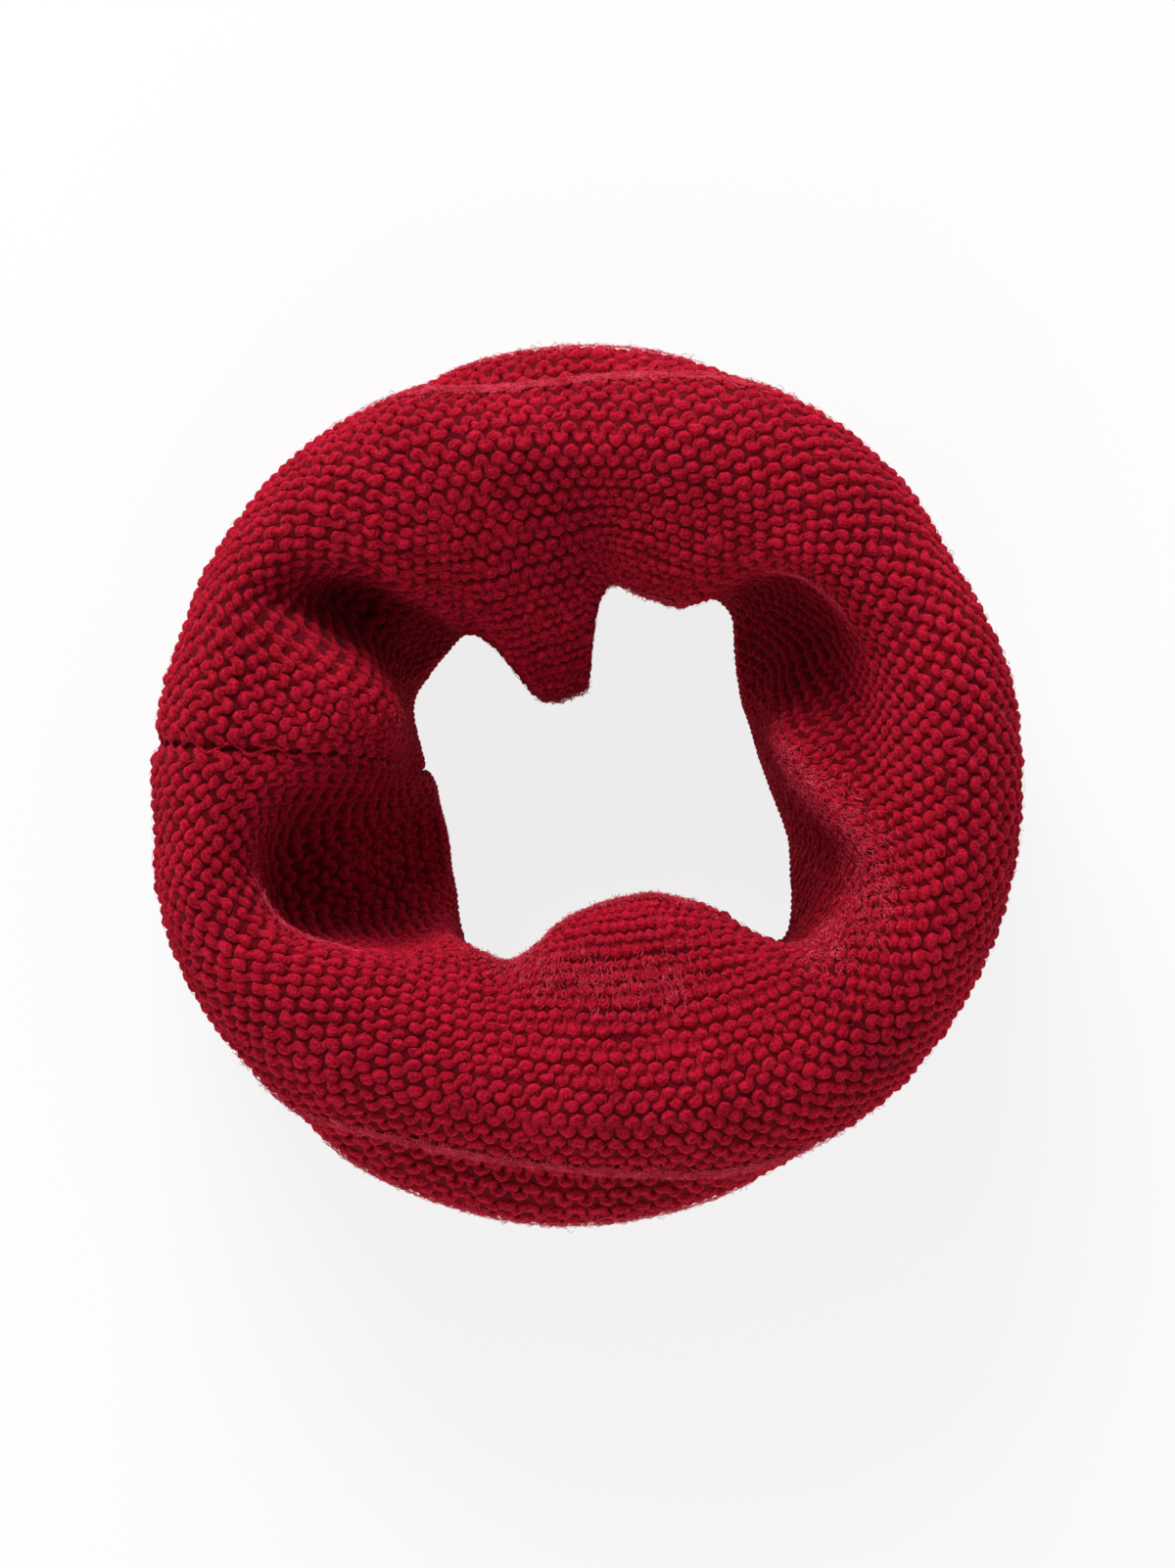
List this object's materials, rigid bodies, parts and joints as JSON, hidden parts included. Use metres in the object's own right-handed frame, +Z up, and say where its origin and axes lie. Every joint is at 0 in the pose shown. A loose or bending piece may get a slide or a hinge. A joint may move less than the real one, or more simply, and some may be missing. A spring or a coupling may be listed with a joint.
{
  "type": "infinity scarf",
  "caption": "Knitted loop scarf in garter stitch, turned in on itself into a soft double ring round an open neck hole, standing on its two hems.",
  "frame": {"origin": "centre of the footprint, on the surface that the scarf rests on", "axes": "+Z up through the neck opening; the join of the strip's ends is towards -X"},
  "size_m": [0.1952, 0.2004, 0.0886],
  "materials": {
    "red_wool": "crimson wool in garter stitch, matt with a soft halo of fibres"
  },
  "bodies": {
    "root": {"outer_layer": "red_wool", "inner_layer": "red_wool"}
  },
  "joints": []
}
